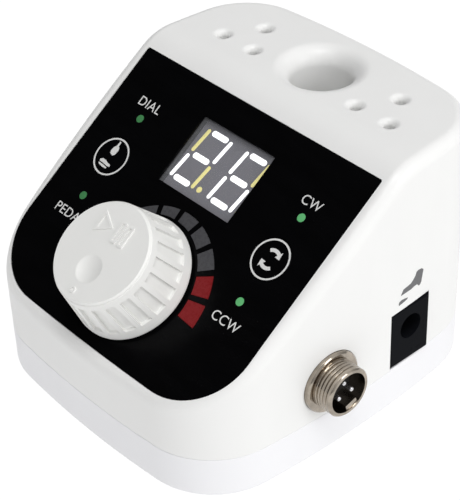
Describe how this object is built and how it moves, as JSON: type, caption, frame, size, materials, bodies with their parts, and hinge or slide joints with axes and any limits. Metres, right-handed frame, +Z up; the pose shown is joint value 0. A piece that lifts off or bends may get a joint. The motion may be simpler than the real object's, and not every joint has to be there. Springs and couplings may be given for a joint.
{
  "type": "dental micromotor control box",
  "caption": "Desk control box of a small dental motor: sloped black panel with knob, keys, two-digit display; handpiece well, bur holes, threaded and pedal sockets.",
  "frame": {"origin": "middle of the flat underside of the base cover; the four feet reach 1.5 mm below it", "axes": "+X to the user's right, toward the socket side, +Y to the back, +Z up; the sloping panel faces -Y and +Z"},
  "size_m": [0.0904, 0.0934, 0.0665],
  "materials": {
    "case_plastic": "fine satin",
    "base_plastic": "fine satin",
    "foot_rubber": "matte",
    "steel_screw": "zinc plated",
    "panel_black": "gloss",
    "clear_window": "clear film",
    "bezel_black": "matte",
    "display_face": "matte",
    "segment_lit": "lit",
    "lens_red": "translucent",
    "lens_dark": "translucent",
    "lens_green": "translucent",
    "board_green": "solder mask",
    "led_chip": "matte",
    "part_black": "matte",
    "part_white": "matte",
    "steel_bright": "bright",
    "knob_white": "satin",
    "nickel": "nickel plated",
    "contact_gold": "plated",
    "socket_black": "semi gloss",
    "rocker_black": "semi gloss",
    "can_sleeve": "sleeve",
    "alu_fins": "extruded"
  },
  "bodies": {
    "case": {"upper_case": "case_plastic", "base_cover": "base_plastic", "rubber_feet": "foot_rubber", "case_screws": "steel_screw", "panel_overlay": "panel_black", "display_window": "clear_window", "display_bezel": "bezel_black", "display_module": "display_face", "display_segments": "segment_lit", "bar_lenses_red": "lens_red", "bar_lenses_dark": "lens_dark", "lamp_lenses": "lens_green", "panel_board": "board_green", "panel_board_screws": "steel_screw", "panel_leds": "led_chip", "left_key_switch": "part_black", "right_key_switch": "part_black", "left_switch_dome": "steel_bright", "right_switch_dome": "steel_bright", "encoder_body": "steel_bright", "encoder_dome": "steel_bright", "encoder_washer": "steel_screw", "encoder_nut": "steel_screw", "connector_shell": "nickel", "connector_insulator": "part_black", "connector_pins": "steel_bright", "connector_washer": "steel_screw", "connector_nut": "nickel", "pedal_socket": "socket_black", "pedal_socket_contacts": "contact_gold", "power_inlet": "socket_black", "power_inlet_pin": "contact_gold", "switch_housing": "socket_black", "switch_pivot": "steel_screw", "switch_terminals": "contact_gold", "main_board": "board_green", "main_board_screws": "steel_screw", "capacitors": "can_sleeve", "heat_sink": "alu_fins", "motor_drivers": "part_black", "controller_chip": "part_black", "board_header": "part_white", "header_pins": "contact_gold"},
    "left_push_key": {"left_key": "panel_black"},
    "right_push_key": {"right_key": "panel_black"},
    "push_carriage": {"encoder_slider": "part_white"},
    "dial": {"encoder_shaft": "steel_bright", "knob": "knob_white"},
    "power_rocker": {"switch_rocker": "rocker_black"}
  },
  "joints": [
    {"name": "left_key_press", "type": "slide", "parent": "case", "child": "left_push_key", "axis": [0, 0.5793, -0.8151], "range_m": [0, 0.0006], "stiffness_N_per_m": 800, "springref_m": -0.0003},
    {"name": "right_key_press", "type": "slide", "parent": "case", "child": "right_push_key", "axis": [0, 0.5793, -0.8151], "range_m": [0, 0.0006], "stiffness_N_per_m": 800, "springref_m": -0.0003},
    {"name": "knob_press", "type": "slide", "parent": "case", "child": "push_carriage", "axis": [0, 0.5793, -0.8151], "range_m": [0, 0.0005], "stiffness_N_per_m": 1500, "springref_m": -0.0004},
    {"name": "knob_turn", "type": "hinge", "parent": "push_carriage", "child": "dial", "pos_m": [0, -0.02842, 0.03506], "axis": [0, -0.5793, 0.8151], "continuous": true},
    {"name": "rocker_tilt", "type": "hinge", "parent": "case", "child": "power_rocker", "pos_m": [0.0178, 0.0431, 0.0255], "axis": [0, 0, 1], "range_deg": [0, 16]}
  ]
}
